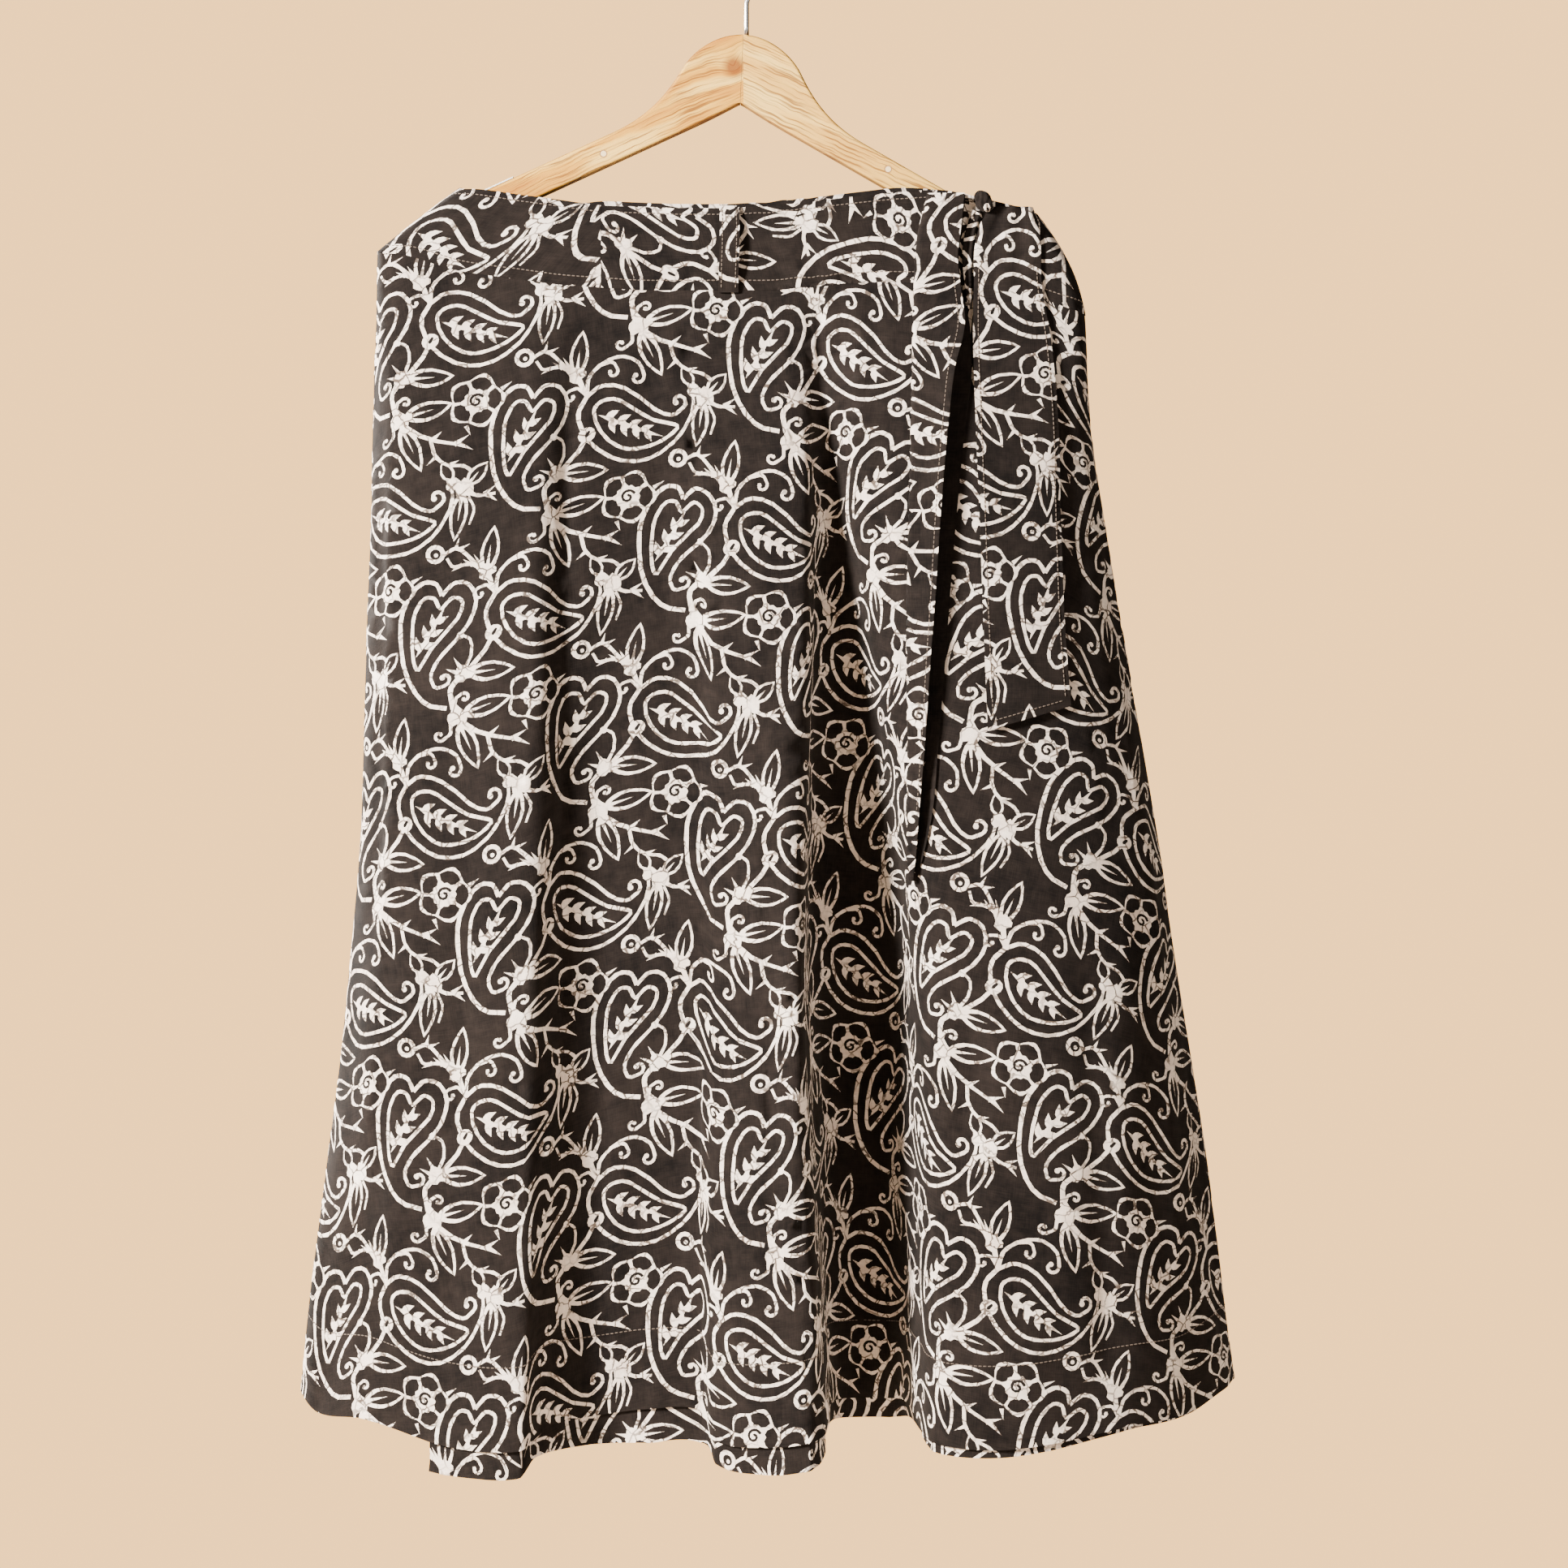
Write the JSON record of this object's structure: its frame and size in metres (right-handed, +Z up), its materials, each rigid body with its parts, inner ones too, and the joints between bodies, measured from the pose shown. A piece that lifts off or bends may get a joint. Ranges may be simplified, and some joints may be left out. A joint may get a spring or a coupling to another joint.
{
  "type": "wrap skirt on hanger",
  "caption": "Flared wrap skirt with a deep waistband, belt loop and two hanging ties, on a wooden hanger with a steel hook.",
  "frame": {"origin": "inside top of the hanger's hook, where a rail carries it", "axes": "+Z up along the hanging garment, -Y out of its front, +X to the right as seen from the front"},
  "size_m": [0.694, 0.174, 1.133],
  "materials": {
    "print_cotton": "matt printed cotton",
    "pine": "satin varnish",
    "steel": "bright wire",
    "strip": "matt"
  },
  "bodies": {
    "root": {"waistband_front_left": "print_cotton", "waistband_front_right": "print_cotton", "waistband_back": "print_cotton", "waistband_under": "print_cotton", "belt_loop": "print_cotton", "panel_outer": "print_cotton", "panel_under": "print_cotton", "panel_back": "print_cotton", "tie_flat": "print_cotton", "tie_folded": "print_cotton", "tie_gather": "print_cotton", "tie_knot": "print_cotton", "hanger_arm_left": "pine", "hanger_arm_right": "pine", "hanger_hook": "steel", "hanger_strip_left": "strip", "hanger_strip_right": "strip"}
  },
  "joints": []
}
